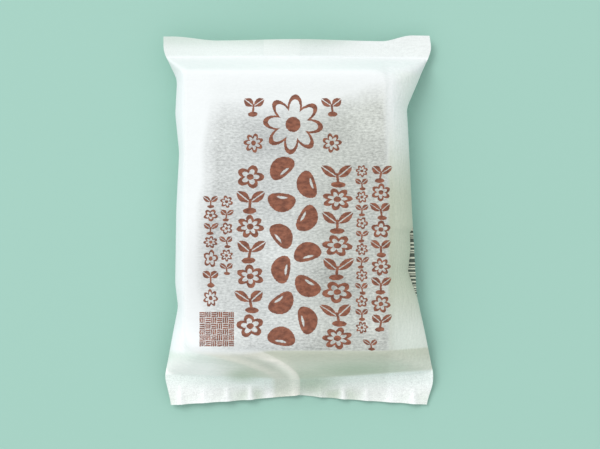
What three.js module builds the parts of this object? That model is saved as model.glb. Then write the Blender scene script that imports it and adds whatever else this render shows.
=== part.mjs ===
// A pillow pack of white rice paper, lying on its back with its printed face up. A paper tube is closed
// along the middle of its back by a lap seam, crimped flat at both ends, and filled by a shallow tray of
// agar jelly. The flat ends are wider than the filled middle, so their corners stand out as ears.
// Millimetres, +X to the right and +Y to the head of the pack, seen from above, +Z up. The origin is in
// the middle of the pack, on the surface that it lies on.
import * as THREE from "three";
import { mergeVertices } from "three/addons/utils/BufferGeometryUtils.js";

// The filled middle: a flat top over the rim of the tray, and a smaller base under it.
const TOP_Z = 27;
const RIM = { left: -53, right: 41, foot: -60, head: 69 };
const BASE = { left: -41, right: 36, foot: -50, head: 59 };
const SIDE_CREASE_Z = 11;
const FOLD_ROUNDING = 2.5;

// The shoulders from foot to head: [y, how straight, from 0 to 1, and the power of the curved rest].
const LEFT_SHOULDER = [[-88, 0.5, 2], [88, 0.5, 2]];
const RIGHT_SHOULDER = [
  [-88, 1, 2], [-60, 1, 2], [-35, 0.6, 2], [0, 0.5, 2], [36, 0.4, 2.1], [50, 0.4, 2.2], [88, 0.4, 2.2],
];

// How round the ridges from the rim to the ears are, from left to right: [x, millimetres].
const FOOT_RIDGES = [[-45, 16], [0, 8], [45, 5]];
const HEAD_RIDGES = [[-45, 4], [0, 5], [45, 14]];

// The crimped ends: where each crimp starts and where it is cut. The foot's line dips in the middle and
// its cut end is drawn in there. The head's cut end stands up at its corners: [rise, from, run].
const FOOT = { line: -73.3, cut: -88.3, lineDip: 2, drawnIn: 4.7, drawnPower: 0.8, halfWidth: 61 };
const HEAD = {
  line: 78, cut: 87.5, lineDip: 1, low: 2.7, leftCorner: [2.2, 38, 22], rightCorner: [3.2, 42, 10],
};
const EAR_BLEND = 26;

// The height of the foot's crimp line, and how far the crimp falls from there: [x, millimetres]. Above 1,
// the power makes it flatten out towards its cut end.
const FOOT_LINE_Z = [[-63, 6.5], [-46, 10.5], [-20, 12], [0, 11.5], [20, 10.3], [42, 8], [63, 5]];
const FOOT_FALL = [[-63, 3.5], [-46, 7], [-20, 9.8], [0, 10.7], [20, 9.2], [42, 6.4], [63, 3.4]];
const FOOT_CURVE = 1.7;

// The head's crimp: its height, and how far its middle curls up towards its cut end.
const HEAD_Z = { middle: 13, left: 9.5, right: 5, curl: 2.5, halfWidth: 63 };

// How far the end slopes bulge out: at the foot from left to right [x, share], at the head throughout.
const FOOT_BULGE = [[-60, 0.3], [-6, 0.4], [3, 0.25], [20, 0.35], [40, 0.3], [62, 0]];
const HEAD_BULGE = 0.2;

// The two side edges seen from above, from foot to head: [y, distance from the middle line].
const LEFT_EDGE = [
  [-88, 61.1], [-74.5, 63.8], [-41, 57], [-30, 58.4], [5, 57.9],
  [32, 56.5], [50, 58.4], [66, 57.6], [81, 64.1], [88, 64.1],
];
const RIGHT_EDGE = [
  [-88, 61.1], [-78, 64], [-73, 64], [-35, 55.6], [1, 53.6],
  [53, 51], [66, 56.7], [82, 63.2], [88, 62],
];
const EDGE_ROUNDING = 2;
const LEVEL_ROUNDING = 6;

// The ledge of back paper beside the front's fold at the right, from foot to head: [y, width].
const LEDGE = [[-37, 0], [-24, 3.6], [-14, 1.9], [-6, 1.7], [-3, 0]];

// The back seam: a flap folded to the left, and how far beside it the paper lifts off the table.
const SEAM = { left: -16.5, right: 0.3, step: 0.6, thickness: 0.5, lift: 8 };

// The pleat at the foot, where the seam's flap holds the left half above the right half.
const PLEAT = { height: 2, run: 13, from: -60, to: -70 };

const PAPER_THICKNESS = 0.8;

// Columns and rows of the paper's net.
const SHOULDER_COLUMNS = 7;
const TOP_COLUMN_PITCH = 3.6;
const CRIMP_ROWS = 5;
const BODY_ROW_PITCH = 4.4;
const LEAST_FOLD_RISE = 0.5;

const PAPER_COLOUR = 0xf4f6f5;
const PAPER_ROUGHNESS = 0.7;

const { lerp, clamp, smoothstep } = THREE.MathUtils;

// The lower of two heights, with the fold between them rounded over a given height.
function lower(a, b, rounding) {
  const near = Math.max(rounding - Math.abs(a - b), 0);
  return Math.min(a, b) - (near * near) / (4 * rounding);
}

// A straight-sided line through stations of a place and one or more values. `pick` chooses the value.
function alongStations(stations, place, pick = 1) {
  const next = stations.findIndex(([at]) => at >= place);
  if (next <= 0) return next === 0 ? stations[0][pick] : stations.at(-1)[pick];
  const from = stations[next - 1];
  const to = stations[next];
  return lerp(from[pick], to[pick], (place - from[0]) / (to[0] - from[0]));
}

// The same with its corners rounded by a running mean.
function softlyAlong(stations, place, reach) {
  const offsets = [-1, -0.5, 0, 0.5, 1];
  const sum = offsets.reduce((total, o) => total + alongStations(stations, place + o * reach), 0);
  return sum / offsets.length;
}

// Distance of the nearer side edge from the middle line.
function edgeDistance(x, y) {
  return softlyAlong(x < 0 ? LEFT_EDGE : RIGHT_EDGE, y, EDGE_ROUNDING);
}

function footLineShift(x) {
  return -FOOT.lineDip * Math.max(1 - Math.abs(x) / FOOT.halfWidth, 0);
}

function footCutShift(x) {
  const across = Math.min(Math.abs(x) / FOOT.halfWidth, 1);
  return FOOT.drawnIn * (1 - across ** FOOT.drawnPower);
}

function headCutShift(x) {
  const [rise, from, run] = x < 0 ? HEAD.leftCorner : HEAD.rightCorner;
  return rise * smoothstep(Math.abs(x) - from, 0, run) - HEAD.low;
}

// Where a point of the square net lies: shifted in full at the cut ends and at the crimp lines, and not
// at all from the rim of the tray inwards.
function laidY(x, y) {
  const upSlope = clamp((y - FOOT.line) / (RIM.foot - FOOT.line), 0, 1);
  const downCrimp = clamp((FOOT.line - y) / (FOOT.line - FOOT.cut), 0, 1);
  const foot = lerp(footLineShift(x) * (1 - upSlope), footCutShift(x), downCrimp);
  const downSlope = clamp((HEAD.line - y) / (HEAD.line - RIM.head), 0, 1);
  const upCrimp = clamp((y - HEAD.line) / (HEAD.cut - HEAD.line), 0, 1);
  const head = lerp(-HEAD.lineDip * (1 - downSlope), headCutShift(x), upCrimp);
  return y + foot + head;
}

// The foot's crimp falls from its line to its cut end, where it lies close to the table.
function footCrimpHeight(x, y) {
  const down = clamp((FOOT.line - y) / (FOOT.line - FOOT.cut), 0, 1);
  const fallen = 1 - (1 - down) ** FOOT_CURVE;
  return softlyAlong(FOOT_LINE_Z, x, LEVEL_ROUNDING) - softlyAlong(FOOT_FALL, x, LEVEL_ROUNDING) * fallen;
}

// The head's crimp is highest in its middle, and curls up there.
function headCrimpHeight(x, y) {
  const across = smoothstep(Math.abs(x), 0, HEAD_Z.halfWidth);
  const up = clamp((y - HEAD.line) / (HEAD.cut - HEAD.line), 0, 1);
  const corner = x < 0 ? HEAD_Z.left : HEAD_Z.right;
  return lerp(HEAD_Z.middle, corner, across) + HEAD_Z.curl * (1 - across) * up;
}

// Height where front and back meet: the crimps at the ends, the side crease in between.
function meetingHeight(x, y) {
  const foot = smoothstep(y - FOOT.line, 0, EAR_BLEND);
  const head = smoothstep(y - HEAD.line + EAR_BLEND, 0, EAR_BLEND);
  const fromFoot = lerp(footCrimpHeight(x, y), SIDE_CREASE_Z, foot);
  return lerp(fromFoot, headCrimpHeight(x, y), head) + pleatHeight(x, y);
}

// The pleat rises towards the seam's folded edge and drops sharply on its right.
function pleatHeight(x, y) {
  const along = 1 - smoothstep(y, PLEAT.to, PLEAT.from);
  const rise = smoothstep(x, SEAM.right - PLEAT.run, SEAM.right);
  const drop = 1 - smoothstep(x, SEAM.right, SEAM.right + SEAM.step);
  return PLEAT.height * along * rise * drop;
}

// The share of its full height that the paper has reached, a share `t` of the way in from its edge:
// part curve, which leaves the edge upright, and part straight line, which meets the rim at an angle.
// Further in it keeps rising.
function shoulder(t, straight, power) {
  const inside = clamp(t, 0, 1);
  const curve = (1 - (1 - inside) ** power) ** (1 / power);
  return lerp(curve, inside, straight) + Math.max(t - 1, 0);
}

// An end slope bulges out by a share of t (1 - t).
function bulged(t, bulge) {
  const inside = clamp(t, 0, 1);
  return t + bulge * inside * (1 - inside);
}

// The paper beside the seam's flap stands off the table and comes down to it a little way off.
function seamLift(x) {
  const beside = x < SEAM.left ? SEAM.left - SEAM.step - x : x - SEAM.right - SEAM.step;
  const onFlap = x >= SEAM.left && x <= SEAM.right;
  return onFlap ? 0 : SEAM.thickness * clamp(1 - beside / SEAM.lift, 0, 1);
}

// How far the paper has spread from the meeting height, `full` being its greatest spread: held to the
// crimps at the ends and to the edge at the sides.
function spread(frame, x, y, edge, full) {
  const upSlope = (y - FOOT.line) / (frame.foot - FOOT.line);
  const downSlope = (HEAD.line - y) / (HEAD.line - frame.head);
  const end = Math.min(bulged(upSlope, alongStations(FOOT_BULGE, x)), bulged(downSlope, HEAD_BULGE));
  const rim = x < 0 ? -frame.left : frame.right;
  const curve = x < 0 ? LEFT_SHOULDER : RIGHT_SHOULDER;
  const inward = (edge - Math.abs(x)) / (edge - rim);
  const side = shoulder(inward, alongStations(curve, y, 1), alongStations(curve, y, 2));
  const ridge = alongStations(y < 0 ? FOOT_RIDGES : HEAD_RIDGES, x);
  const held = lower(end * full, side * full, ridge);
  return Math.max(lower(held, full, FOLD_ROUNDING), 0);
}

function frontHeight(x, y, edge) {
  const meeting = meetingHeight(x, y) + PAPER_THICKNESS / 2;
  const ledge = x > 0 ? alongStations(LEDGE, y) : 0;
  return meeting + spread(RIM, x, y, edge - ledge, TOP_Z - meeting);
}

function backHeight(x, y, edge) {
  const meeting = meetingHeight(x, y) - PAPER_THICKNESS / 2;
  return meeting - spread(BASE, x, y, edge, meeting - seamLift(x));
}

// Evenly spaced stops from one station to the next, without the last.
function stops(from, to, count) {
  return Array.from({ length: count }, (_, i) => lerp(from, to, i / count));
}

// Where the columns beyond the rim lie, as shares of the way in from the edge: closest together where
// the paper turns under.
const SHARES_IN = Array.from({ length: SHOULDER_COLUMNS + 1 }, (_, i) => {
  return 1 - Math.cos(((i / SHOULDER_COLUMNS) * Math.PI) / 2);
});

// The rows on the end slopes meet those columns along the sharper ridges, the foot's at the right and
// the head's at the left.
const FOOT_SLOPE_ROWS = SHARES_IN.map((share) => lerp(FOOT.line, RIM.foot, share));
const HEAD_SLOPE_ROWS = SHARES_IN.map((share) => {
  return lerp(HEAD.line, RIM.head, shoulder(share, LEFT_SHOULDER[1][1], LEFT_SHOULDER[1][2]));
});

// Rows run from the foot's cut end to the head's.
const bodyRows = Math.round((RIM.head - RIM.foot) / BODY_ROW_PITCH);
const ROWS_Y = [
  ...stops(FOOT.cut, FOOT.line, CRIMP_ROWS),
  ...FOOT_SLOPE_ROWS,
  ...stops(RIM.foot, RIM.head, bodyRows).slice(1),
  ...HEAD_SLOPE_ROWS.reverse(),
  ...stops(HEAD.cut, HEAD.line, CRIMP_ROWS).reverse(),
];

// Columns over the flat top, with a close pair at each side of the back seam.
const seamStations = [
  RIM.left, SEAM.left - SEAM.step, SEAM.left, SEAM.right, SEAM.right + SEAM.step, RIM.right,
];
const TOP_X = seamStations.slice(1).flatMap((to, i) => {
  const from = seamStations[i];
  return stops(from, to, Math.ceil((to - from) / TOP_COLUMN_PITCH));
}).concat(RIM.right);

const COLUMNS = TOP_X.length - 1 + 2 * SHOULDER_COLUMNS;
const ROWS = ROWS_Y.length - 1;

// Where a column meets a row. Columns over the top are straight, and those beyond the rim fan out to
// the edge.
function columnX(column, y) {
  const fromRight = COLUMNS - column;
  if (column < SHOULDER_COLUMNS) return lerp(-edgeDistance(-1, y), RIM.left, SHARES_IN[column]);
  if (fromRight < SHOULDER_COLUMNS) return lerp(edgeDistance(1, y), RIM.right, SHARES_IN[fromRight]);
  return TOP_X[column - SHOULDER_COLUMNS];
}

// Moves each corner of the box's grid to its place on the pack: its top becomes the front, and its
// underside the back.
function layOver(skin) {
  const at = skin.getAttribute("position");
  for (let i = 0; i < at.count; i++) {
    const y = ROWS_Y[Math.round(at.getY(i) + ROWS / 2)];
    const x = columnX(Math.round(at.getX(i) + COLUMNS / 2), y);
    const edge = edgeDistance(x, y);
    const z = at.getZ(i) > 0 ? frontHeight(x, y, edge) : backHeight(x, y, edge);
    at.setXYZ(i, x, laidY(x, y), z);
  }
}

// A box's grid folds each of its cells a, b, c, d along the diagonal from b to d. Where the other
// diagonal stands clearly further out, the cell is folded along that one, as paper pressed from inside
// is.
function foldOutwards(skin) {
  const at = skin.getAttribute("position");
  const index = skin.getIndex();
  for (let i = 0; i < index.count; i += 6) {
    const [a, b, d] = [0, 1, 2].map((k) => index.getX(i + k));
    const c = index.getX(i + 4);
    const rise = at.getZ(a) + at.getZ(c) - at.getZ(b) - at.getZ(d);
    const areaFromAbove = (at.getX(b) - at.getX(a)) * (at.getY(d) - at.getY(a))
      - (at.getY(b) - at.getY(a)) * (at.getX(d) - at.getX(a));
    if (rise * Math.sign(areaFromAbove) > LEAST_FOLD_RISE) {
      [a, b, c, a, c, d].forEach((corner, k) => index.setX(i + k, corner));
    }
  }
}

// The whole pack is one closed skin.
function makePack() {
  const box = new THREE.BoxGeometry(COLUMNS, ROWS, 1, COLUMNS, ROWS, 1);
  box.deleteAttribute("normal");
  box.deleteAttribute("uv");
  const skin = mergeVertices(box);
  layOver(skin);
  foldOutwards(skin);
  skin.computeVertexNormals();
  return skin;
}

const paper = new THREE.MeshStandardMaterial({
  color: PAPER_COLOUR,
  roughness: PAPER_ROUGHNESS,
  metalness: 0,
});

const pack = new THREE.Mesh(makePack(), paper);
pack.name = "paper_pack";

const jellyPack = new THREE.Group();
jellyPack.add(pack);

export default jellyPack;
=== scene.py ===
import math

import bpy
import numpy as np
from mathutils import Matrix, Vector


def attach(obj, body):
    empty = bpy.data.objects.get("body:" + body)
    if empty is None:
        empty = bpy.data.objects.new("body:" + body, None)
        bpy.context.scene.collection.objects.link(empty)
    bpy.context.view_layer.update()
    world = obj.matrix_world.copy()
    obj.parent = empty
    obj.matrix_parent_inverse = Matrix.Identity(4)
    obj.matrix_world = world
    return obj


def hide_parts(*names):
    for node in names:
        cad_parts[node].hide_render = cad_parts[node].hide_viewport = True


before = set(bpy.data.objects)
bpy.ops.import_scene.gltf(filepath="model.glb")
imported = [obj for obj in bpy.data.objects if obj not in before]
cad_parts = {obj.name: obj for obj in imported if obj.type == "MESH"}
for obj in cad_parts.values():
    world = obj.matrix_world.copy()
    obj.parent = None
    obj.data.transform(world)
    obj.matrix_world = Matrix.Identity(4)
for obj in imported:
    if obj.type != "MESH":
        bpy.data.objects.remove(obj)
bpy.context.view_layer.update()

# A shut pillow pack of white rice paper, lying on its back with its printed front up. The paper is a
# tube closed by a lap seam along its back and crimped flat at both ends. A shallow tray of agar jelly
# fills it and shows through the front as a grey field. Shapes are worked out in millimetres, +X to the
# right, +Y to the head of the pack and +Z up, and go into the mesh in metres.

MM = 0.001
NODE = "paper_pack"

# The filled middle: a flat top over the rim of the tray, and a smaller base under it.
TOP_Z = 27.0
RIM = {"left": -53.0, "right": 41.0, "foot": -60.0, "head": 69.0}
BASE = {"left": -41.0, "right": 36.0, "foot": -50.0, "head": 59.0}
SIDE_CREASE_Z = 11.0
FOLD_ROUNDING = 2.5

# How straight the shoulders are, the right one from foot to head: y, then share. The rest is a curve
# of a power, 2 for a quarter ellipse and more for a fuller one.
LEFT_STRAIGHT = 0.5
LEFT_POWER = 2.0
RIGHT_STRAIGHT = np.array([(-60, 1.0), (-35, 0.6), (0, 0.5), (36, 0.4)])
RIGHT_POWER = np.array([(20, 2.0), (50, 2.2)])

# How round the ridges from the rim to the ears are, from left to right: x, then millimetres.
FOOT_RIDGES = np.array([(-45, 16.0), (0, 8.0), (45, 5.0)])
HEAD_RIDGES = np.array([(-45, 4.0), (0, 5.0), (45, 14.0)])

# The foot's crimp: its line and its cut end seen from above, and from left to right the height of its
# line and how far it falls from there to its cut end: x, then millimetres.
FOOT_LINE = -73.3
FOOT_CUT = -88.3
FOOT_LINE_DIP = 2.0
FOOT_DRAWN_IN = 4.7
FOOT_DRAWN_POWER = 0.8
FOOT_HALF_WIDTH = 61.0
FOOT_LINE_Z = np.array([
    (-63, 6.5), (-46, 10.5), (-20, 12.0), (0, 11.5), (20, 10.3), (42, 8.0), (63, 5.0),
])
FOOT_FALL = np.array([
    (-63, 3.5), (-46, 7.0), (-20, 9.8), (0, 10.7), (20, 9.2), (42, 6.4), (63, 3.4),
])
FOOT_CURVE = 1.7

# The head's crimp: highest in its middle, where it also curls up. Its cut end stands out at the
# corners, each told by its rise, where that starts beside the middle line, and its run.
HEAD_LINE = 78.0
HEAD_CUT = 87.5
HEAD_LINE_DIP = 1.0
HEAD_LOW = 2.7
HEAD_CORNERS = {"left": (2.0, 38.0, 22.0), "right": (3.0, 39.0, 15.0)}
HEAD_Z = {"middle": 13.0, "left": 9.5, "right": 5.0}
HEAD_CURL = 2.5
HEAD_HALF_WIDTH = 63.0
EAR_BLEND = {"foot": 26.0, "head": 40.0}

PAPER_THICKNESS = 0.3

# The two side edges seen from above, from foot to head: y, then distance from the middle line.
LEFT_EDGE = np.array([
    (-88, 61.1), (-74.5, 63.8), (-41, 57), (-30, 58.4), (5, 57.9),
    (32, 56.5), (50, 58.4), (66, 57.6), (81, 64.1), (88, 64.1),
])
RIGHT_EDGE = np.array([
    (-88, 61.1), (-78, 64.0), (-73, 64.0), (-35, 55.6), (1, 53.6),
    (53, 51.0), (66, 56.7), (82, 63.2), (88, 62.0),
])
EDGE_ROUNDING = 2.0

# The back seam: a flap folded to the left, and how far beside it the paper lifts off the table.
SEAM = {"left": -16.5, "right": 0.3, "step": 0.35, "thickness": 0.5, "lift": 8.0}

# The ledge of back paper that stands out at the right beside the front's fold, from foot to head: y,
# then width.
LEDGE = np.array([(-37, 0), (-24, 3.6), (-14, 1.9), (-6, 1.7), (-3, 0)])

# How far the foot's slope bulges out over its crimp, from left to right: x, then share.
FOOT_BULGE = np.array([(-60, 0.3), (-30, 0.4), (-6, 0.4), (3, 0.25), (20, 0.35), (40, 0.3), (62, 0.0)])
HEAD_BULGE = 0.2

# The folds that the seam's stiff flap pulls into the foot. The first runs along a curve from the rim
# down to the seam, and the heights are told across it, to its left.
FOLD_CURVE = {"x": 1.0, "bend_y": -76.0, "reach": 13.0, "swing": 12.5}
FOLD_PROFILE = np.array([
    (-0.8, 0.0), (0.4, 1.5), (2.8, 2.5), (7.6, 0.5), (9.0, 0.4), (13.0, 1.2), (20.0, 0.2), (25.0, 0.0),
])
FOLD_FADE = {"top": -60.5, "full": -66.0, "low": -76.0, "end": -83.0, "kept": 8.0, "run": 3.0}

# The flutes that stand up along the foot's cut end, the long swell in their height and the bare run
# beside the seam, and the waves of the head's cut end.
FLUTES = {"crest": 10.1, "pitch": 11.1, "height": 2.3, "narrow": 5.0, "wide": 0.8, "lean": 0.6}
FLUTE_SWELL = {"crest": -24.0, "pitch": 43.0, "mean": 0.7, "swing": 0.3}
FLUTE_GAP = {"middle": -5.0, "reach": 9.0, "run": 6.0}
HEAD_WAVES = {"crest": -30.0, "pitch": 56.0, "height": 0.8}

# Where the crimps' paint begins: above the foot's line, further up at the right over a run from the
# middle, and how softly at either end. And a number for paper that is nowhere near the front's fold.
CRIMP_START = {"above": 1.2, "right": 1.6, "run": 60.0, "soft_foot": 1.6, "soft_head": 1.0}
LEFT_OF_FOLD = -10.0

# The grid of the paper, and the angle in degrees above which its shading breaks.
SHARP_ANGLE = 50.0
SHOULDER_COLUMNS = 22
TOP_COLUMN_PITCH = 0.62
CRIMP_ROW_PITCH = 0.55
SLOPE_ROWS = 26
BODY_ROW_PITCH = 0.9


# Small helpers for whole arrays

def smooth(t):
    """3t^2 - 2t^3 of t held between 0 and 1."""
    t = np.clip(t, 0.0, 1.0)
    return t * t * (3.0 - 2.0 * t)


def mix(a, b, t):
    """a + (b - a) t."""
    return a + (b - a) * t


def along(stations, at):
    """A straight-sided line through stations of place and value."""
    return np.interp(at, stations[:, 0], stations[:, 1])


def softly_along(stations, at, reach=6.0, count=7):
    """The same with its corners rounded by a running mean over a reach either way."""
    offsets = np.linspace(-1.0, 1.0, count) * reach
    return sum(along(stations, at + offset) for offset in offsets) / len(offsets)


def lower(a, b, rounding):
    """The lower of two heights, less (r - |a - b|)^2 / 4r where they are closer than r, which rounds
    the fold between them."""
    near = np.maximum(rounding - np.abs(a - b), 0.0)
    return np.minimum(a, b) - near * near / (4.0 * rounding)


# The plan of the pack

def foot_line_shift(x):
    """The dip of the foot's crimp line, a straight fall to the middle."""
    return -FOOT_LINE_DIP * np.maximum(1.0 - np.abs(x) / FOOT_HALF_WIDTH, 0.0)


def foot_cut_shift(x):
    """How far the foot's cut end is drawn in: 1 - |x / half width|^power of its depth."""
    across = np.minimum(np.abs(x) / FOOT_HALF_WIDTH, 1.0)
    return FOOT_DRAWN_IN * (1.0 - across ** FOOT_DRAWN_POWER)


def head_cut_shift(x):
    """How far the head's cut end is below its corners: a smooth rise at either side."""
    rises = []
    for rise, start, run in HEAD_CORNERS.values():
        rises.append(rise * smooth((np.abs(x) - start) / run))
    return np.where(x < 0.0, rises[0], rises[1]) - HEAD_LOW


def laid_y(x, y):
    """Where a point of the square grid lies: its y, shifted in full at the cut ends and at the crimp
    lines and not at all from the rim of the tray inwards, with straight lines between."""
    foot_line, foot_cut = foot_line_shift(x), foot_cut_shift(x)
    up_slope = np.clip((y - FOOT_LINE) / (RIM["foot"] - FOOT_LINE), 0.0, 1.0)
    down_crimp = np.clip((FOOT_LINE - y) / (FOOT_LINE - FOOT_CUT), 0.0, 1.0)
    foot = foot_line * (1.0 - up_slope) + (foot_cut - foot_line) * down_crimp
    head_line, head_cut = -HEAD_LINE_DIP, head_cut_shift(x)
    down_slope = np.clip((HEAD_LINE - y) / (HEAD_LINE - RIM["head"]), 0.0, 1.0)
    up_crimp = np.clip((y - HEAD_LINE) / (HEAD_CUT - HEAD_LINE), 0.0, 1.0)
    head = head_line * (1.0 - down_slope) + (head_cut - head_line) * up_crimp
    return y + foot + head


# The heights of the pack, over the square grid

def foot_crimp_height(x, y):
    """The height of the crimp's line, less a fall of 1 - (1 - t)^power to its cut end, which flattens
    out towards it."""
    down = np.clip((FOOT_LINE - y) / (FOOT_LINE - FOOT_CUT), 0.0, 1.0)
    fallen = 1.0 - (1.0 - down) ** FOOT_CURVE
    return softly_along(FOOT_LINE_Z, x) - softly_along(FOOT_FALL, x) * fallen


def head_crimp_height(x, y):
    """A smooth fall from the middle to the corners, plus the curl, which grows towards the cut end and
    waves along it."""
    across = smooth(np.abs(x) / HEAD_HALF_WIDTH)
    out = np.clip((y - HEAD_LINE) / (HEAD_CUT - HEAD_LINE), 0.0, 1.0)
    wave = np.cos(2.0 * np.pi * (x - HEAD_WAVES["crest"]) / HEAD_WAVES["pitch"])
    curl = HEAD_CURL * (1.0 - across) - HEAD_WAVES["height"] * wave
    corner = np.where(x < 0.0, HEAD_Z["left"], HEAD_Z["right"])
    return mix(HEAD_Z["middle"], corner, across) + curl * out


def meeting_height(x, y):
    """Height where front and back meet: the crimps at the ends, blended smoothly into the crease."""
    foot = smooth((y - FOOT_LINE) / EAR_BLEND["foot"])
    head = smooth((y - HEAD_LINE) / EAR_BLEND["head"] + 1.0)
    from_foot = mix(foot_crimp_height(x, y), SIDE_CREASE_Z, foot)
    return mix(from_foot, head_crimp_height(x, y), head)


def shoulder(t, straight, power):
    """Share of full height reached a share t of the way in from the edge: part straight line, part
    curve, the root of 1 - (1 - t)^power. Further in it keeps rising."""
    inside = np.clip(t, 0.0, 1.0)
    curve = (1.0 - (1.0 - inside) ** power) ** (1.0 / power)
    return mix(curve, inside, straight) + np.maximum(t - 1.0, 0.0)


def bulged(t, bulge):
    """t plus a bulge of t(1 - t) between 0 and 1."""
    inside = np.clip(t, 0.0, 1.0)
    return t + bulge * inside * (1.0 - inside)


def spread(box, x, y, edge, full):
    """How far the paper has spread from the meeting height, at most `full`: the lower of the end
    slopes, the shoulder at the side and the flat, each fold between them rounded."""
    end = np.minimum(
        bulged((y - FOOT_LINE) / (box["foot"] - FOOT_LINE), along(FOOT_BULGE, x)),
        bulged((HEAD_LINE - y) / (HEAD_LINE - box["head"]), HEAD_BULGE),
    )
    rim = np.where(x < 0.0, -box["left"], box["right"])
    straight = np.where(x < 0.0, LEFT_STRAIGHT, along(RIGHT_STRAIGHT, y))
    power = np.where(x < 0.0, LEFT_POWER, along(RIGHT_POWER, y))
    side = shoulder((edge - np.abs(x)) / (edge - rim), straight, power)
    ridge = np.where(y < 0.0, along(FOOT_RIDGES, x), along(HEAD_RIDGES, x))
    held = lower(end * full, side * full, ridge)
    return np.maximum(lower(held, full, FOLD_ROUNDING), 0.0)


def seam_lift(x):
    """Height of the back off the table: nothing under the flap, its thickness just beside it, and a
    straight line down from there."""
    left = (SEAM["left"] - SEAM["step"] - x) / SEAM["lift"]
    right = (x - SEAM["right"] - SEAM["step"]) / SEAM["lift"]
    beside = np.where(x < SEAM["left"], left, right)
    on_flap = (x >= SEAM["left"]) & (x <= SEAM["right"])
    return np.where(on_flap, 0.0, SEAM["thickness"] * np.clip(1.0 - beside, 0.0, 1.0))


def across_fold(x, y):
    """A point's distance to the left of the folds' curve, which runs straight along the seam and then
    swings left as the square of the height above its bend."""
    rise = np.maximum(y - FOLD_CURVE["bend_y"], 0.0) / FOLD_CURVE["reach"]
    curve_x = FOLD_CURVE["x"] - FOLD_CURVE["swing"] * rise ** 2
    lean = 2.0 * FOLD_CURVE["swing"] * rise / FOLD_CURVE["reach"]
    return (curve_x - x) / np.sqrt(1.0 + lean ** 2)


def fold_height(x, y):
    """The foot's folds, told across their curve. They fade in below the rim and, but for the first,
    out again on the crimp."""
    across = across_fold(x, y)
    fade_in = smooth((FOLD_FADE["top"] - y) / (FOLD_FADE["top"] - FOLD_FADE["full"]))
    low = smooth((FOLD_FADE["low"] - y) / (FOLD_FADE["low"] - FOLD_FADE["end"]))
    beyond = smooth((across - FOLD_FADE["kept"]) / FOLD_FADE["run"])
    return softly_along(FOLD_PROFILE, across, 0.8) * fade_in * (1.0 - low * beyond)


def flutes(x, y):
    """Crests along the foot's cut end, ((1 + cos) / 2)^power with the angle leaning ahead of itself and
    a power that falls, so that they widen, towards the end. Also how far each point is into the
    flutes, which grow from the middle of the crimp to its end and stop short of the seam."""
    down = np.clip((FOOT_LINE - y) / (FOOT_LINE - FOOT_CUT), 0.0, 1.0)
    turn = 2.0 * np.pi * (x - FLUTES["crest"]) / FLUTES["pitch"]
    power = mix(FLUTES["narrow"], FLUTES["wide"], smooth((down - 0.2) / 0.8))
    crest = ((1.0 + np.cos(turn + FLUTES["lean"] * np.sin(turn))) / 2.0) ** power
    out = smooth((down - 0.25) / 0.6)
    swell = np.cos(2.0 * np.pi * (x - FLUTE_SWELL["crest"]) / FLUTE_SWELL["pitch"])
    uneven = FLUTE_SWELL["mean"] + FLUTE_SWELL["swing"] * swell
    off_seam = smooth((np.abs(x - FLUTE_GAP["middle"]) - FLUTE_GAP["reach"]) / FLUTE_GAP["run"])
    return crest, out * uneven * off_seam


def flute_height(x, y):
    """The height of the flutes: their greatest height times both shares."""
    crest, share = flutes(x, y)
    return FLUTES["height"] * crest * share


def front_height(x, y, edge):
    """The meeting height plus the front's spread, which starts inside the ledge at the right, plus the
    folds and flutes at the foot."""
    ledge = np.where(x > 0.0, along(LEDGE, y), 0.0)
    meeting = meeting_height(x, y) + PAPER_THICKNESS / 2.0
    relief = fold_height(x, laid_y(x, y)) + flute_height(x, y)
    return meeting + spread(RIM, x, y, edge - ledge, TOP_Z - meeting) + relief


def back_height(x, y, edge):
    """The meeting height less the back's spread, with the front's folds and flutes on the crimp."""
    meeting = meeting_height(x, y) - PAPER_THICKNESS / 2.0
    on_crimp = smooth((FOOT_LINE + 1.5 - y) / 3.0)
    relief = (fold_height(x, laid_y(x, y)) + flute_height(x, y)) * on_crimp
    return meeting - spread(BASE, x, y, edge, meeting - seam_lift(x)) + relief


# The grid of the paper, and the mesh on it

def stops(start, end, pitch):
    """Evenly spaced stops from start up to end, without end, about a pitch apart."""
    return np.linspace(start, end, max(round(abs(end - start) / pitch), 1), endpoint=False)


def shares_in():
    """Shares of the way in from the edge, 1 - cos(t), closest together at the edge."""
    return 1.0 - np.cos(np.linspace(0.0, np.pi / 2.0, SHOULDER_COLUMNS + 1))


def row_stations():
    """The y of every row, from the foot's cut end to the head's."""
    return np.concatenate([
        stops(FOOT_CUT, FOOT_LINE, CRIMP_ROW_PITCH),
        np.linspace(FOOT_LINE, RIM["foot"], SLOPE_ROWS, endpoint=False),
        stops(RIM["foot"], RIM["head"], BODY_ROW_PITCH),
        np.linspace(RIM["head"], HEAD_LINE, SLOPE_ROWS, endpoint=False),
        stops(HEAD_LINE, HEAD_CUT, CRIMP_ROW_PITCH),
        [HEAD_CUT],
    ])


def top_columns():
    """The x of every straight column, with a close pair at each side of the seam's flap."""
    marks = [
        RIM["left"], SEAM["left"] - SEAM["step"], SEAM["left"],
        SEAM["right"], SEAM["right"] + SEAM["step"], RIM["right"],
    ]
    runs = [stops(start, end, TOP_COLUMN_PITCH) for start, end in zip(marks, marks[1:])]
    return np.concatenate(runs + [[RIM["right"]]])


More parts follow.
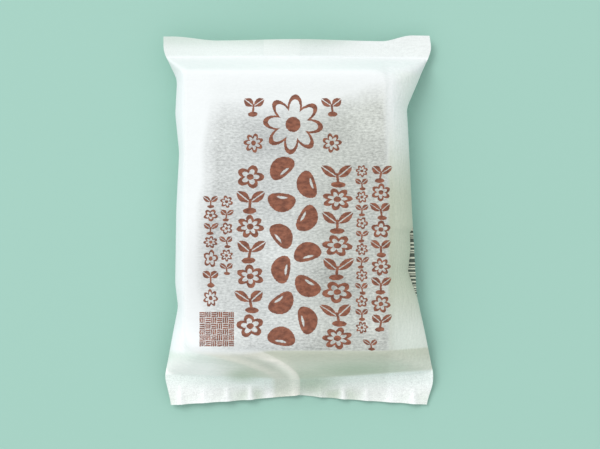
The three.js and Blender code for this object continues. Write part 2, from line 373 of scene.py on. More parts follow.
def paper_grid():
    """x, y and edge distance at every row and column. Columns over the top are straight, and those
    beyond the rim lie at fixed shares of the way between rim and edge."""
    y = row_stations()[:, None]
    inner = np.broadcast_to(top_columns(), (len(y), len(top_columns())))
    left_edge = softly_along(LEFT_EDGE, y, EDGE_ROUNDING, 5)
    right_edge = softly_along(RIGHT_EDGE, y, EDGE_ROUNDING, 5)
    left = mix(-left_edge, RIM["left"], shares_in()[None, :-1])
    right = mix(right_edge, RIM["right"], shares_in()[None, -2::-1])
    x = np.concatenate([left, inner, right], axis=1)
    edge = np.where(x < 0.0, left_edge, right_edge)
    return x, np.broadcast_to(y, x.shape), edge


def flat_coordinates(points):
    """The sheet laid flat: running length along each row from the middle column, and running length
    along the middle column."""
    middle = points.shape[1] // 2
    across = np.linalg.norm(np.diff(points, axis=1), axis=2)
    u = np.concatenate([np.zeros((len(points), 1)), np.cumsum(across, axis=1)], axis=1)
    u -= u[:, middle:middle + 1]
    steps = np.linalg.norm(np.diff(points[:, middle], axis=0), axis=1)
    v = np.concatenate([[0.0], np.cumsum(steps)])
    v -= v[len(v) // 2]
    return np.stack([u, np.broadcast_to(v[:, None], u.shape)], axis=2)


def grid_faces(rows, columns, first, flip):
    """Quads between neighbouring rows and columns of a grid whose vertices start at `first`."""
    number = first + np.arange(rows * columns).reshape(rows, columns)
    quads = np.stack([number[:-1, :-1], number[:-1, 1:], number[1:, 1:], number[1:, :-1]], axis=2)
    quads = quads.reshape(-1, 4)
    return quads[:, ::-1] if flip else quads


def rim_faces(rows, columns, second):
    """Quads that join the outer vertices of two like grids, the second of which starts at `second`."""
    number = np.arange(rows * columns).reshape(rows, columns)
    loop = np.concatenate([number[0, :-1], number[:-1, -1], number[-1, :0:-1], number[:0:-1, 0]])
    after = np.roll(loop, -1)
    return np.stack([loop, second + loop, second + after, after], axis=1)


def make_mesh(name, points, faces):
    """A mesh from millimetre points and quads."""
    mesh = bpy.data.meshes.new(name)
    mesh.from_pydata((points * MM).tolist(), [], faces.tolist())
    mesh.update()
    return mesh


def add_uv(mesh, name, per_vertex):
    """A UV map from two numbers per vertex."""
    corners = np.empty(len(mesh.loops), dtype=np.int32)
    mesh.loops.foreach_get("vertex_index", corners)
    layer = mesh.uv_layers.new(name=name)
    layer.uv.foreach_set("vector", per_vertex[corners].astype(np.float32).ravel())


def add_number(mesh, name, per_vertex):
    """A number per vertex, for a material to read."""
    layer = mesh.attributes.new(name, "FLOAT", "POINT")
    layer.data.foreach_set("value", per_vertex.astype(np.float32).ravel())


def add_sheet_maps(mesh, front, back):
    """The flat coordinates of both sheets, in millimetres in the paper's own map, and side by side
    between 0 and 1 in the bake's."""
    sheets = [flat_coordinates(front).reshape(-1, 2), flat_coordinates(back).reshape(-1, 2)]
    add_uv(mesh, "sheet", np.concatenate(sheets))
    width = [np.ptp(sheet[:, 0]) for sheet in sheets]
    height = max(np.ptp(sheet[:, 1]) for sheet in sheets)
    gap = 0.01
    scale = (1.0 - 3.0 * gap) / max(sum(width), height)
    starts = [gap, 2.0 * gap + width[0] * scale]
    placed = []
    for sheet, start in zip(sheets, starts):
        placed.append((sheet - sheet.min(axis=0)) * scale + [start, gap])
    add_uv(mesh, "OFBake", np.concatenate(placed))


def add_paper_numbers(mesh, x, y, edge):
    """What the paper's material reads at each vertex of both sheets: which sheet it is on, how far it
    is past the front's fold, and how far into the crimps, the flutes' valleys and the foot's folds."""
    count = x.size
    add_number(mesh, "front", np.concatenate([np.ones(count), np.zeros(count)]))
    foot_line = FOOT_LINE + CRIMP_START["above"] + CRIMP_START["right"] * smooth(x / CRIMP_START["run"])
    in_foot = smooth((foot_line - y) / CRIMP_START["soft_foot"])
    in_head = smooth((y - HEAD_LINE) / CRIMP_START["soft_head"])
    crest, share = flutes(x, y)
    out_y = laid_y(x, y)
    numbers = {
        "past_fold": np.where(x > 0.0, x - edge + along(LEDGE, y), LEFT_OF_FOLD),
        "crimp": np.maximum(in_foot, in_head),
        "valley": (1.0 - crest) * share,
        "fold": fold_height(x, out_y),
        "across_fold": across_fold(x, out_y),
    }
    for name, per_vertex in numbers.items():
        add_number(mesh, name, np.tile(per_vertex.ravel(), 2))


def add_object(name, data):
    """An object at the origin, linked to the scene."""
    made = bpy.data.objects.new(name, data)
    bpy.context.scene.collection.objects.link(made)
    return made


def make_pack():
    """The front and back sheets on one grid, joined round their edge."""
    x, y, edge = paper_grid()
    out_y = laid_y(x, y)
    front = np.stack([x, out_y, front_height(x, y, edge)], axis=2)
    back = np.stack([x, out_y, back_height(x, y, edge)], axis=2)
    rows, columns = x.shape
    half = rows * columns
    points = np.concatenate([front.reshape(-1, 3), back.reshape(-1, 3)])
    faces = np.concatenate([
        grid_faces(rows, columns, 0, False),
        grid_faces(rows, columns, half, True),
        rim_faces(rows, columns, half),
    ])
    mesh = make_mesh("pack_paper", points, faces)
    add_sheet_maps(mesh, front, back)
    add_paper_numbers(mesh, x, y, edge)
    mesh.shade_smooth()
    mesh.set_sharp_from_angle(angle=math.radians(SHARP_ANGLE))
    return add_object("pack_paper", mesh)


# Shader arithmetic

class Wire:
    """An output socket that does arithmetic: an expression on wires adds its Math nodes."""

    def __init__(self, shader, socket):
        self.shader = shader
        self.socket = socket

    def math(self, operation, *others):
        values = dict(enumerate((self, *others)))
        return self.shader.node("ShaderNodeMath", {"operation": operation}, values)

    def swapped(self, operation, other):
        return self.shader.node("ShaderNodeMath", {"operation": operation}, {0: other, 1: self})

    def __add__(self, other):
        return self.math("ADD", other)

    def __sub__(self, other):
        return self.math("SUBTRACT", other)

    def __mul__(self, other):
        return self.math("MULTIPLY", other)

    def __truediv__(self, other):
        return self.math("DIVIDE", other)

    def __mod__(self, other):
        return self.math("FLOORED_MODULO", other)

    def __lt__(self, other):
        return self.math("LESS_THAN", other)

    def __gt__(self, other):
        return self.math("GREATER_THAN", other)

    def __rsub__(self, other):
        return self.swapped("SUBTRACT", other)

    def __abs__(self):
        return self.math("ABSOLUTE")

    __radd__ = __add__
    __rmul__ = __mul__


class Shader:
    """A material's node tree, built by one method."""

    def __init__(self, name):
        self.material = bpy.data.materials.new(name)
        self.material.use_nodes = True
        self.tree = self.material.node_tree
        self.tree.nodes.clear()

    def node(self, kind, settings=None, values=None, output=0):
        """A node of a kind: its settings first, then the values or wires of its sockets. Returns one
        of its outputs."""
        made = self.tree.nodes.new(kind)
        for name, setting in (settings or {}).items():
            setattr(made, name, setting)
        for name, value in (values or {}).items():
            if isinstance(value, Wire):
                self.tree.links.new(value.socket, made.inputs[name])
            else:
                made.inputs[name].default_value = value
        return Wire(self, made.outputs[output]) if made.outputs else made


def grade(value, start, end, low=0.0, high=1.0):
    """A smooth step from low to high as the value goes from start to end."""
    return value.shader.node(
        "ShaderNodeMapRange",
        {"interpolation_type": "SMOOTHSTEP", "clamp": True},
        {"Value": value, "From Min": start, "From Max": end, "To Min": low, "To Max": high},
    )


def blend(share, first, second):
    """A share of the second colour over the first."""
    return share.shader.node(
        "ShaderNodeMix",
        {"data_type": "RGBA", "clamp_factor": True},
        {"Factor": share, 6: first, 7: second},
        output=2,
    )


def noise(place, scale, detail=2.0, roughness=0.5):
    """Soft random numbers round 0.5."""
    return place.shader.node(
        "ShaderNodeTexNoise",
        {},
        {"Vector": place, "Scale": scale, "Detail": detail, "Roughness": roughness},
    )


def parts(place):
    """The x and y of a place."""
    x = place.shader.node("ShaderNodeSeparateXYZ", {}, {0: place})
    return x, Wire(place.shader, x.socket.node.outputs[1])


def stretched(place, x_scale, y_scale, turn=0.0):
    """A place turned and scaled along its x and y."""
    return place.shader.node(
        "ShaderNodeMapping",
        {},
        {"Vector": place, "Rotation": (0.0, 0.0, turn), "Scale": (x_scale, y_scale, 1.0)},
    )


def number_of(shader, name):
    """A number that the mesh holds at its vertices."""
    return shader.node("ShaderNodeAttribute", {"attribute_name": name}, {}, output=2)


def between(value, low, high, soft):
    """1 between low and high, falling smoothly to 0 over `soft` outside."""
    return grade(value, low - soft, low) * grade(value, high, high + soft, 1.0, 0.0)


# The paper's colours by place, some of them painted light and shade, the tints of the grey field at its
# left and right, and the inks.

PAPER = (0.860, 0.885, 0.890, 1.0)
# Painted light: the left shoulder, turned to the lamp, is whiter and bluer than the paper.
LIT_LEFT_PAPER = (0.925, 0.930, 0.960, 1.0)
# Painted shade, greenish, on the right shoulder, lighter towards the head and darkest over the hollow
# at its middle, partly the thin paper over that hollow.
RIGHT_SHADED_PAPER = (0.740, 0.780, 0.720, 1.0)
RIGHT_HEAD_PAPER = (0.860, 0.900, 0.870, 1.0)
HOLLOW_SHADED_PAPER = (0.560, 0.600, 0.470, 1.0)
# Painted light and shade on the foot's slope: lighter at its left, darker and greenish at its right,
# partly the thin paper over the hollow.
FOOT_TOP_LEFT = (0.800, 0.870, 0.820, 1.0)
FOOT_TOP_RIGHT = (0.600, 0.630, 0.530, 1.0)
FOOT_LOW_LEFT = (0.950, 0.970, 0.950, 1.0)
FOOT_LOW_RIGHT = (0.690, 0.730, 0.640, 1.0)
# Painted shade in the crease along the foot's crimp line.
FOOT_BAND_SHADE = (0.520, 0.620, 0.500, 1.0)
# The warmer double-layer paper over the seam's flap, darkened by the same painted shade as the foot
# round it.
FOOT_FLAP_TOP = (0.740, 0.750, 0.670, 1.0)
FOOT_FLAP_CUT = (0.700, 0.740, 0.650, 1.0)
# Painted highlight along the crest of the seam's fold.
FOOT_FOLD_HIGHLIGHT = (0.970, 0.955, 0.880, 1.0)
FOOT_CRIMP_TOP = (0.860, 0.930, 0.900, 1.0)
# Painted light: the foot's crimp whitens towards its cut end, which lies flat under the lamp.
FOOT_CRIMP_CUT_LIT = (0.960, 0.975, 0.975, 1.0)
HEAD_PAPER = (0.870, 0.895, 0.900, 1.0)
HEAD_CRIMP = (0.770, 0.820, 0.800, 1.0)
# Painted shade where the head's crimp curls up at its cut end.
HEAD_CRIMP_CUT_SHADE = (0.600, 0.690, 0.630, 1.0)
HEAD_CRIMP_RIGHT = (0.820, 0.850, 0.840, 1.0)
FLAP_PAPER = (0.92, 0.925, 0.90, 1.0)
WINDOW_LEFT = (1.0, 1.005, 0.985, 1.0)
WINDOW_RIGHT = (1.0, 1.01, 0.94, 1.0)
DARK_INK = (0.140, 0.038, 0.017, 1.0)
LIGHT_INK = (0.310, 0.105, 0.055, 1.0)
STRIPE_INK = (0.035, 0.060, 0.048, 1.0)
UNTINTED = (1.0, 1.0, 1.0, 1.0)

# How far noise moves the edges of the print.
PRINT_ROUGHNESS = 0.55

# The tray's grey field: its sides, and where it reaches its full tone at the left and at the top.
WINDOW = {
    "left": -46.0, "full_left": -37.0, "right": 40.6, "foot": -60.9, "top": 61.0, "full_top": 42.0,
}

# Soft patches of tone in the grey field, patches of painted light and shade on the front's paper, and
# strips of painted shade at the foot: how much, then middle x and y, then reach along x and y.
WINDOW_PATCHES = [
    (0.10, -10.0, -14.0, 17.0, 18.0), (0.10, 31.0, 48.0, 14.0, 16.0),
    (0.15, -29.0, -52.0, 20.0, 10.0), (0.11, 35.0, -49.0, 8.0, 9.0),
    (0.04, 38.0, 40.0, 8.0, 22.0), (-0.06, 24.0, -36.0, 12.0, 10.0),
    (-0.10, 17.0, -27.0, 16.0, 17.0), (0.05, 0.0, -46.0, 40.0, 12.0),
    (-0.06, -37.0, 10.0, 10.0, 28.0), (-0.12, -41.0, -10.0, 9.0, 30.0),
    (-0.08, 8.0, -57.0, 15.0, 8.0), (-0.09, -18.0, 37.0, 20.0, 13.0),
    (0.12, 42.0, 57.0, 8.0, 11.0), (-0.06, 17.0, 62.0, 11.0, 7.0),
]
# Painted light and shade on the front's paper: a dent's shade, lighter foot corners, and shade at the
# fold's root.
LIGHT_AND_SHADE_PATCHES = [
    (-0.16, -43.0, -24.0, 14.0, 36.0), (0.09, -54.0, -57.0, 12.0, 14.0),
    (0.09, 54.0, -57.0, 12.0, 14.0), (-0.12, -21.0, -62.0, 14.0, 5.0),
    (-0.11, -13.0, -66.5, 8.0, 5.5),
]
# Strips of painted shade along the crease of the foot's crimp line and beside the seam.
SLOPE_SHADE_BAND = (1.0, 27.0, -70.5, 36.0, 8.0)
FOOT_SHADE_BANDS = [(0.9, 6.0, -78.0, 20.0, 14.0), (0.8, -27.0, -73.5, 11.0, 5.5)]

# The print. A big blossom, a double row of beans that each turn on from the last, and columns of
# blossoms and seedlings by middle, top, pitch, count, half width, half height and stroke.
BIG_BLOSSOM = {"x": -2.72, "y": 44.1, "size": 13.9, "stroke": 2.3, "petals": 8.0}
BEANS = {"middle": -2.1, "swing": 5.9, "top": 24.0, "pitch": 7.8, "count": 11, "turn": 67.0}
BEAN = {"half_length": 6.5, "half_width": 4.4, "bend": 1.3, "eye_length": 2.4, "eye_width": 0.55}
COLUMNS = [
    (-22.5, 25.6, 11.47, 7, 6.5, 5.5, 1.9), (17.75, 25.6, 10.7, 8, 7.1, 5.2, 1.8),
    (29.05, 25.6, 6.02, 13, 2.9, 2.9, 0.95), (37.85, 25.6, 8.58, 9, 4.6, 4.2, 1.35),
    (-33.4, 11.5, 6.18, 6, 3.0, 2.9, 0.95), (-40.75, 11.5, 6.2, 4, 3.4, 2.9, 1.0),
    (-40.75, -13.3, 9.1, 3, 3.5, 4.2, 1.2), (33.2, -54.8, 5.6, 1, 3.3, 2.7, 1.0),
]
CORNER_MARKS = {"middle": -2.86, "reach": 18.1, "top": 60.7, "pitch": 16.8, "size": 4.6, "stroke": 1.35}
WEAVE = {"x": -37.97, "y": -50.45, "half": 8.05, "cell": 2.683, "line": 0.894}
STRIPES = {"foot": -36.3, "head": -5.2, "back_left": 34.0}


def length(x, y):
    """The root of x^2 + y^2."""
    return (x * x + y * y).math("SQRT")


def line(distance, half_width, soft=0.1):
    """1 within half a line's width of it."""
    return grade(abs(distance), half_width - soft, half_width + soft, 1.0, 0.0)


def inside(distance, soft=0.1):
    """1 where a signed distance is below 0."""
    return grade(distance, -soft, soft, 1.0, 0.0)


def either(*masks):
    """The greatest of several masks."""
    total = masks[0]
    for mask in masks[1:]:
        total = total.math("MAXIMUM", mask)
    return total


def bean(x, y, number):
    """A bean: an ellipse in turned coordinates, its length bent along a parabola, with an unprinted eye
    on its hollow side. Its implicit value over its gradient is the distance to it."""
    side = 1.0 if number % 2 else -1.0
    out_x = x - BEANS["middle"] - side * BEANS["swing"]
    out_y = y - BEANS["top"] + number * BEANS["pitch"]
    cosine = math.cos(math.radians(number * BEANS["turn"] + 40.0))
    sine = math.sin(math.radians(number * BEANS["turn"] + 40.0))
    half_length, half_width = BEAN["half_length"], BEAN["half_width"]
    lengthwise = out_x * cosine + out_y * sine
    across = out_y * cosine - out_x * sine + lengthwise * lengthwise * (BEAN["bend"] / half_length ** 2)
    across = across - BEAN["bend"] / 3.0
    value = length(lengthwise / half_length, across / half_width)
    gradient = length(lengthwise / half_length ** 2, across / half_width ** 2)
    body = inside((value - 1.0) * value / (gradient + 0.001))
    eye = length(lengthwise / BEAN["eye_length"], (across + half_width * 0.55) / BEAN["eye_width"])
    return body * grade(eye, 0.8, 1.2)


def blossom(x, y, size, stroke, turn, petals):
    """A blossom: a line round petals of radius |cos(petals angle / 2)|, and a dot in its middle."""
    radius = length(x, y)
    angle = y.math("ARCTAN2", x)
    petal = abs((angle * petals * 0.5 + turn).math("COSINE"))
    edge = radius - size * (0.62 + 0.38 * petal)
    return either(line(edge + stroke / 2.0, stroke / 2.0), inside(radius - 0.25 * size))


def seedling(x, y, half_width, half_height, stroke):
    """A seedling: two pointed leaves that mirror each other, a stem and the bean that it grows from."""
    out_x = abs(x) - half_width * 0.52
    out_y = y - half_height * 0.42
    lengthwise = (out_x * 0.80 + out_y * 0.60) / (half_width * 0.62)
    across = out_y * 0.80 - out_x * 0.60
    width = half_height * 0.42 * (1.0 - lengthwise * lengthwise)
    leaves = inside(abs(across) - width) * (1.0 - line(across, stroke * 0.13))
    stem = line(x, stroke * 0.36) * inside(abs(y + half_height * 0.25) - half_height * 0.5)
    seed_x = x / (half_width * 0.48)
    seed_y = (y + half_height * 0.76) / (half_height * 0.26)
    seed = inside((length(seed_x, seed_y) - 1.0) * stroke)
    return either(leaves, stem, seed)


def column_marks(x, y, column, start):
    """A column of blossoms and seedlings by turns, each turned and divided by its place in it."""
    middle, top, pitch, count, half_width, half_height, stroke = column
    down = top - y
    row = (down / pitch).math("FLOOR")
    out_x = x - middle
    out_y = (row + 0.5) * pitch - down
    squeeze = half_height / half_width
    petals = (row + start) % 3.0 + 5.0
    flower = blossom(out_x * squeeze, out_y, half_height, stroke, row * 1.9 + start, petals)
    swing = ((row * 0.62 + start * 0.3) % 1.0 - 0.5) * 0.5
    sprout = seedling(out_x - out_y * swing, out_y, half_width, half_height, stroke)
    is_sprout = ((row + start) % 2.0) > 0.5
    mark = flower * (1.0 - is_sprout) + sprout * is_sprout
    return mark * (row > -0.5) * (row < count - 0.5)


def weave(x, y):
    """A square of basket weave: cells of short lines, along and across by turns."""
    out_x, out_y = x - WEAVE["x"], y - WEAVE["y"]
    cell, pitch = WEAVE["cell"], WEAVE["line"]
    turn = ((out_x / cell).math("FLOOR") + (out_y / cell).math("FLOOR")) % 2.0
    along_x = line(out_y % pitch - pitch / 2.0, pitch * 0.37, 0.05)
    along_y = line(out_x % pitch - pitch / 2.0, pitch * 0.37, 0.05)
    lines = along_x * turn + along_y * (1.0 - turn)
    gaps = inside(0.16 - out_x % cell) * inside(0.16 - out_y % cell)
    square = inside(abs(out_x) - WEAVE["half"]) * inside(abs(out_y) - WEAVE["half"])
    return lines * gaps * square


def print_mask(x, y):
    """Where the front is printed."""
    big = BIG_BLOSSOM
    big_blossom = blossom(x - big["x"], y - big["y"], big["size"], big["stroke"], 0.4, big["petals"])
    beans = [bean(x, y, number) for number in range(BEANS["count"])]
    columns = [column_marks(x, y, column, start) for start, column in enumerate(COLUMNS)]
    corner = CORNER_MARKS
    corner_column = (corner["reach"], corner["top"], corner["pitch"], 2, corner["size"], corner["size"],
                     corner["stroke"])
    corners = column_marks(abs(x - corner["middle"]), y, corner_column, 1)
    return either(big_blossom, *beans, *columns, corners, weave(x, y))


def stripe_mask(y, shader):
    """Dark lines of uneven width across the edge of the paper, where noise along y is high."""
    bands = noise(shader.node("ShaderNodeCombineXYZ", {}, {1: y}), 1.15, detail=0.0)
    return grade(bands, 0.46, 0.5) * between(y, STRIPES["foot"], STRIPES["head"], 0.2)


def patch(x, y, amount, middle_x, middle_y, reach_x, reach_y):
    """An amount in the middle of a patch, falling smoothly to 0 at its edge."""
    share = length((x - middle_x) / reach_x, (y - middle_y) / reach_y)
    return grade(share, 0.0, 1.0, 1.0, 0.0) * amount


def patches(x, y, table):
    """The sum of several patches."""
    return sum(patch(x, y, *row) for row in table)


def window_mask(x, y, place):
    """Where the tray's grey field shows: soft at its left, its top and the left of its foot, and
    sharper at its right and the rest of its foot. A thin veil of it reaches up to the rim."""
    wander = (noise(stretched(place, 0.10, 0.10), 1.0, 3.0) - 0.5) * 6.0
    lean = grade(y, 30.0, 55.0, 0.0, 3.0) + grade(y, -40.0, -50.0, 0.0, 4.0)
    lean = lean - between(y, -28.0, 4.0, 16.0) * 2.6
    left = grade(x - lean, WINDOW["left"], WINDOW["left"] + 4.0, 0.0, 0.55)
    left = left + grade(x - lean, WINDOW["left"] + 4.0, WINDOW["full_left"], 0.0, 0.45)
    top = grade(y + wander - grade(x, 5.0, 38.0, 0.0, 7.0), WINDOW["top"], WINDOW["full_top"])
    past_right = x - WINDOW["right"] + grade(y, 10.0, 50.0, 0.0, 1.4)
    right = grade(past_right, -1.0, 2.2, 1.0, 0.3) * grade(past_right, 1.5, 5.0, 1.0, 0.0)
    soft_foot = grade(x, -10.0, -30.0, 1.2, 6.0)
    foot_edge = WINDOW["foot"] - grade(x, -10.0, -30.0, 0.0, 2.2)
    foot = grade((y - foot_edge) / soft_foot, 0.0, 1.0)
    veil = grade(y, 69.0, 60.0, 0.0, 0.16) * grade(x, -46.0, -34.0) * grade(x, 40.0, 44.0, 1.0, 0.0)
    return (left * top * right * foot).math("MAXIMUM", veil)


def window_tone(x, y, place):
    """How bright the grey field is: darker to the right, as painted shade, with patches, streaks and
    short fibres.
    """
    broad = noise(stretched(place, 0.055, 0.085), 1.0, 2.0) - 0.5
    streaks = noise(stretched(place, 0.05, 0.20, 0.45), 1.0, 3.0) - 0.5
    fibres = noise(stretched(place, 0.6, 1.25), 1.0, 3.0, 0.62) - 0.5
    # Painted shade: the grey field darkens towards the right, away from the lamp.
    tone = grade(x, -38.0, -20.0, 0.70, 0.655) - grade(x, -2.0, 18.0, 0.0, 0.075)
    tone = tone + patches(x, y, WINDOW_PATCHES)
    return tone + broad * 0.16 + streaks * 0.14 + fibres * 0.85


def surface_bump(x, y, place, crimp):
    """Soft wrinkles everywhere and a fine diamond emboss on the crimps, as millimetres of relief."""
    wrinkles = noise(stretched(place, 0.16, 0.22), 1.0, 3.0, 0.55) * 0.35
    grain = noise(stretched(place, 0.9, 1.6), 1.0, 2.0) * 0.03
    knurl = ((x + y) * 2.6).math("SINE") * ((x - y) * 2.6).math("SINE")
    pressed = noise(stretched(place, 0.25, 0.4), 1.0, 2.0) * 0.09 - 0.02
    return wrinkles + grain + knurl * crimp * pressed


def foot_colour(x, y, crimp, fold, across, valley):
    """The foot: painted light and shade over the hollow before the crimp, lighter at the left and
    darker at the right, partly the thin paper there, and darkest along the crimp's line; painted light
    towards the cut end and painted shade in the flutes' valleys; and warmer where the flap lies under
    it, with a painted highlight on the fold's crest."""
    # Painted light at the left of the slope and painted shade at its right.
    top = blend(grade(x, -50.0, -20.0), FOOT_TOP_LEFT, FOOT_TOP_RIGHT)
    low = blend(grade(x, -45.0, -20.0), FOOT_LOW_LEFT, FOOT_LOW_RIGHT)
    slope = blend(grade(y, -62.0, -69.0), top, low)
    # Painted light, whiter towards the crimp's cut end.
    pressed = blend(grade(y, -75.0, -83.0), FOOT_CRIMP_TOP, FOOT_CRIMP_CUT_LIT)
    # Painted shade in strips along the crease of the crimp's line.
    bands = [patch(x, y, *row) for row in FOOT_SHADE_BANDS]
    bands.append(patch(x, y, *SLOPE_SHADE_BAND) * (1.0 - crimp))
    # Painted shade in the flutes' valleys.
    valley_shade = valley * grade(abs(x), 20.0, 34.0, 0.8, 0.4)
    colour = blend(either(either(*bands) * 0.9, valley_shade), blend(crimp, slope, pressed), FOOT_BAND_SHADE)
    # Warmer double-layer paper over the flap at the foot's painted shade, and a painted highlight on
    # the fold's crest.
    flap_shade_and_highlight = blend(grade(y, -74.0, -82.0), FOOT_FLAP_TOP, FOOT_FLAP_CUT)
    flap_shade_and_highlight = blend(grade(fold, 0.8, 2.4, 0.0, 0.85), flap_shade_and_highlight, FOOT_FOLD_HIGHLIGHT)
    return blend(grade(across, 0.0, 0.8) * grade(across, 11.0, 15.0, 1.0, 0.0), colour, flap_shade_and_highlight)


def head_colour(x, y, crimp):
    """The head: its slope, and its crimp, which has painted shade towards its cut end but for its
    right.
    """
    # Painted shade where the crimp curls up towards its cut end.
    cut_shade = grade(y, 80.0, 86.0) * grade(x, 10.0, 34.0, 1.0, 0.0) * grade(x, -45.0, -15.0, 0.8, 1.0)
    pressed = blend(grade(x, 5.0, 30.0), HEAD_CRIMP, HEAD_CRIMP_RIGHT)
    return blend(crimp, HEAD_PAPER, blend(cut_shade, pressed, HEAD_CRIMP_CUT_SHADE))


def paper_colour(x, y, front, crimp, fold, across, valley):
    """The front has painted light, whiter and bluer, on its left shoulder, and painted shade, darker
    and greenish, where it spans a hollow at the right and at the foot, partly the thin paper over the
    hollow there. The back is plain but for its crimps and the warmer flap of its seam."""
    at_left = grade(x, RIM["left"] + 0.6, RIM["left"] - 1.2)
    at_head = grade(y, RIM["head"] - 1.5, RIM["head"] + 1.5)
    below_rim = (RIM["foot"] + 0.3 - y) / grade(x, -10.0, -30.0, 1.2, 4.0)
    at_foot = grade(below_rim, 0.0, 1.0)
    low_right = grade(x, RIM["right"] - 0.8, RIM["right"] + 1.6) * grade(y, 25.0, 55.0, 1.0, 0.0)
    high_right = grade(x, RIM["right"], RIM["right"] + 10.0) * grade(y, 25.0, 55.0)
    # Painted light on the left shoulder, which faces the lamp.
    colour = blend(at_left, PAPER, LIT_LEFT_PAPER)
    # Painted shade on the right shoulder and over its hollow, partly the thin paper there, lighter
    # towards the head.
    colour = blend(low_right, colour, RIGHT_SHADED_PAPER)
    colour = blend(high_right, colour, RIGHT_HEAD_PAPER)
    colour = blend(low_right * between(y, -28.0, 8.0, 28.0) * 0.82, colour, HOLLOW_SHADED_PAPER)
    colour = blend(at_head, colour, head_colour(x, y, crimp))
    colour = blend(at_foot, colour, foot_colour(x, y, crimp, fold, across, valley))
    colour = blend(either(front, crimp), PAPER, colour)
    on_flap = between(x, SEAM["left"], SEAM["right"], 0.15)
    return blend(either(on_flap * crimp * 0.2, on_flap * (1.0 - front)), colour, FLAP_PAPER)


def paper_tone(x, y, place, front, crimp, window):
    """How bright the paper is: soft clouds, stronger at the right and the foot, a grain on the
    crimps, patches of painted light and shade on the front, and the grey field's own tone where that
    shows."""
    cloud = noise(stretched(place, 0.5, 1.0), 1.0, 3.0, 0.6) - 0.5
    clouding = 0.05 + grade(x, 30.0, 44.0, 0.0, 0.16) + grade(y, -58.0, -62.0, 0.0, 0.08)
    grain = noise(stretched(place, 1.7, 1.7), 1.0, 1.0) - 0.5
    graining = crimp * grade(y, -5.0, 5.0, 0.42, 0.12)
    # Patches of painted light and shade on the front.
    tone = 1.0 + grain * graining + cloud * clouding + patches(x, y, LIGHT_AND_SHADE_PATCHES) * front
    return tone * (1.0 - window) + window * window_tone(x, y, place)


def printed(x, y, place, front, colour):
    """The brown print over a colour, with slightly rough edges and uneven ink."""
    shader = place.shader
    shake = shader.node(
        "ShaderNodeTexNoise", {}, {"Vector": place, "Scale": 1.3, "Detail": 1.0}, output=1
    )
    shift_x, shift_y = parts(shake)
    rough_x = x + (shift_x - 0.5) * PRINT_ROUGHNESS
    rough_y = y + (shift_y - 0.5) * PRINT_ROUGHNESS
    ink = print_mask(rough_x, rough_y) * front
    ink_tone = noise(stretched(place, 0.35, 0.55), 1.0, 4.0, 0.6)
    return blend(ink * 0.96, colour, blend(grade(ink_tone, 0.3, 0.7), DARK_INK, LIGHT_INK))


def striped(x, y, front, past_fold, colour):
    """Dark stripes over a colour, on the back and on the ledge that shows beside the front's fold."""
    on_ledge = front * grade(past_fold, 0.0, 0.25)
    on_back = (1.0 - front) * grade(x, STRIPES["back_left"], STRIPES["back_left"] + 0.2)
    stripes = stripe_mask(y, y.shader) * either(on_ledge, on_back)
    return blend(stripes * 0.93, colour, STRIPE_INK)


def paper_material():
    """White rice paper with short fibres, the tray's grey field behind it, and its print."""
    shader = Shader("rice_paper")
    texture = shader.node("ShaderNodeTexCoord", {}, {}, output=3)
    place = shader.node("ShaderNodeVectorMath", {"operation": "SCALE"}, {0: texture, "Scale": 1.0 / MM})
    x, y = parts(place)
    front, crimp, past_fold, fold, across, valley = (
        number_of(shader, name)
        for name in ("front", "crimp", "past_fold", "fold", "across_fold", "valley")
    )

    colour = paper_colour(x, y, front, crimp, fold, across, valley)
    window = window_mask(x, y, place) * front
    tone = paper_tone(x, y, place, front, crimp, window)
    tint = blend(window, UNTINTED, blend(grade(x, -15.0, 20.0), WINDOW_LEFT, WINDOW_RIGHT))
    scaled = shader.node("ShaderNodeVectorMath", {"operation": "SCALE"}, {0: colour, "Scale": tone})
    colour = shader.node("ShaderNodeVectorMath", {"operation": "MULTIPLY"}, {0: scaled, 1: tint})
    colour = printed(x, y, place, front, colour)
    colour = striped(x, y, front, past_fold, colour)

    height = surface_bump(x, y, place, crimp)
    normal = shader.node("ShaderNodeBump", {}, {"Height": height, "Distance": MM, "Strength": 0.8})
    surface = shader.node(
        "ShaderNodeBsdfPrincipled",
        {},
        {"Base Color": colour, "Roughness": 0.75, "Specular IOR Level": 0.25, "Normal": normal},
    )
    shader.node("ShaderNodeOutputMaterial", {}, {"Surface": surface})
    return shader.material


# Floor, light and camera. The floor is told in millimetres, and the lights and camera in metres.

FLOOR_COLOUR = (0.36, 0.59, 0.508, 1.0)
FLOOR_REACH = 3000.0
FLOOR_Z = -0.05
KEY_LIGHT = {"place": (-2.3, 2.5, 4.4), "size": 2.9, "power": 131.0}
FILL_COLOUR = (0.98, 1.0, 1.0, 1.0)
FILL_STRENGTH = 0.79
CAMERA_HEIGHT = 0.7
VIEW_WIDTH = 0.288
VIEW_CENTRE = (0.0005, -0.0021)


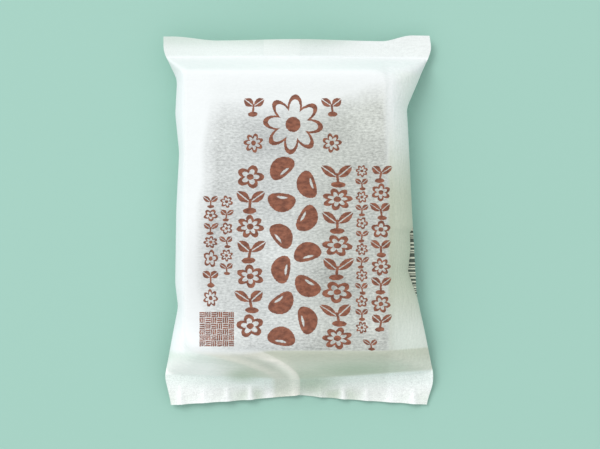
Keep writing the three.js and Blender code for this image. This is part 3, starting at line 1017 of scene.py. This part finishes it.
def make_floor():
    """A plain pale floor just under the pack."""
    corners = np.array([(-1.0, -1.0), (1.0, -1.0), (1.0, 1.0), (-1.0, 1.0)]) * FLOOR_REACH
    points = np.concatenate([corners, np.full((4, 1), FLOOR_Z)], axis=1)
    mesh = make_mesh("floor", points, np.array([(0, 1, 2, 3)]))
    floor = add_object("floor", mesh)
    shader = Shader("floor_paint")
    surface = shader.node(
        "ShaderNodeBsdfPrincipled",
        {},
        {"Base Color": FLOOR_COLOUR, "Roughness": 0.9, "Specular IOR Level": 0.1},
    )
    shader.node("ShaderNodeOutputMaterial", {}, {"Surface": surface})
    mesh.materials.append(shader.material)


def aim(thing, target):
    """Turns a light's or camera's -Z axis to a point."""
    direction = Vector(target) - thing.location
    thing.rotation_euler = direction.to_track_quat("-Z", "Y").to_euler()


def add_light(name, location, size, power):
    """A square soft light aimed at the pack."""
    data = bpy.data.lights.new(name, "AREA")
    data.shape = "SQUARE"
    data.size = size
    data.energy = power
    light = add_object(name, data)
    light.location = location
    aim(light, (0.0, 0.0, 0.0))


def add_lights():
    """A large soft light from the upper left, over an even fill."""
    add_light("key", KEY_LIGHT["place"], KEY_LIGHT["size"], KEY_LIGHT["power"])
    world = bpy.data.worlds.new("fill")
    world.use_nodes = True
    background = world.node_tree.nodes["Background"]
    background.inputs["Color"].default_value = FILL_COLOUR
    background.inputs["Strength"].default_value = FILL_STRENGTH
    bpy.context.scene.world = world
    bpy.context.scene.view_settings.view_transform = "Standard"


def add_camera():
    """Straight down on the pack. The lens shows VIEW_WIDTH of the floor from CAMERA_HEIGHT."""
    data = bpy.data.cameras.new("camera")
    data.sensor_width = 36.0
    data.lens = data.sensor_width * CAMERA_HEIGHT / VIEW_WIDTH
    data.clip_start = 0.01
    camera = add_object("camera", data)
    camera.location = (*VIEW_CENTRE, CAMERA_HEIGHT)
    bpy.context.scene.camera = camera


add_camera()
add_lights()
make_floor()

pack = make_pack()
pack.data.materials.append(paper_material())
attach(pack, "root")
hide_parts(NODE)
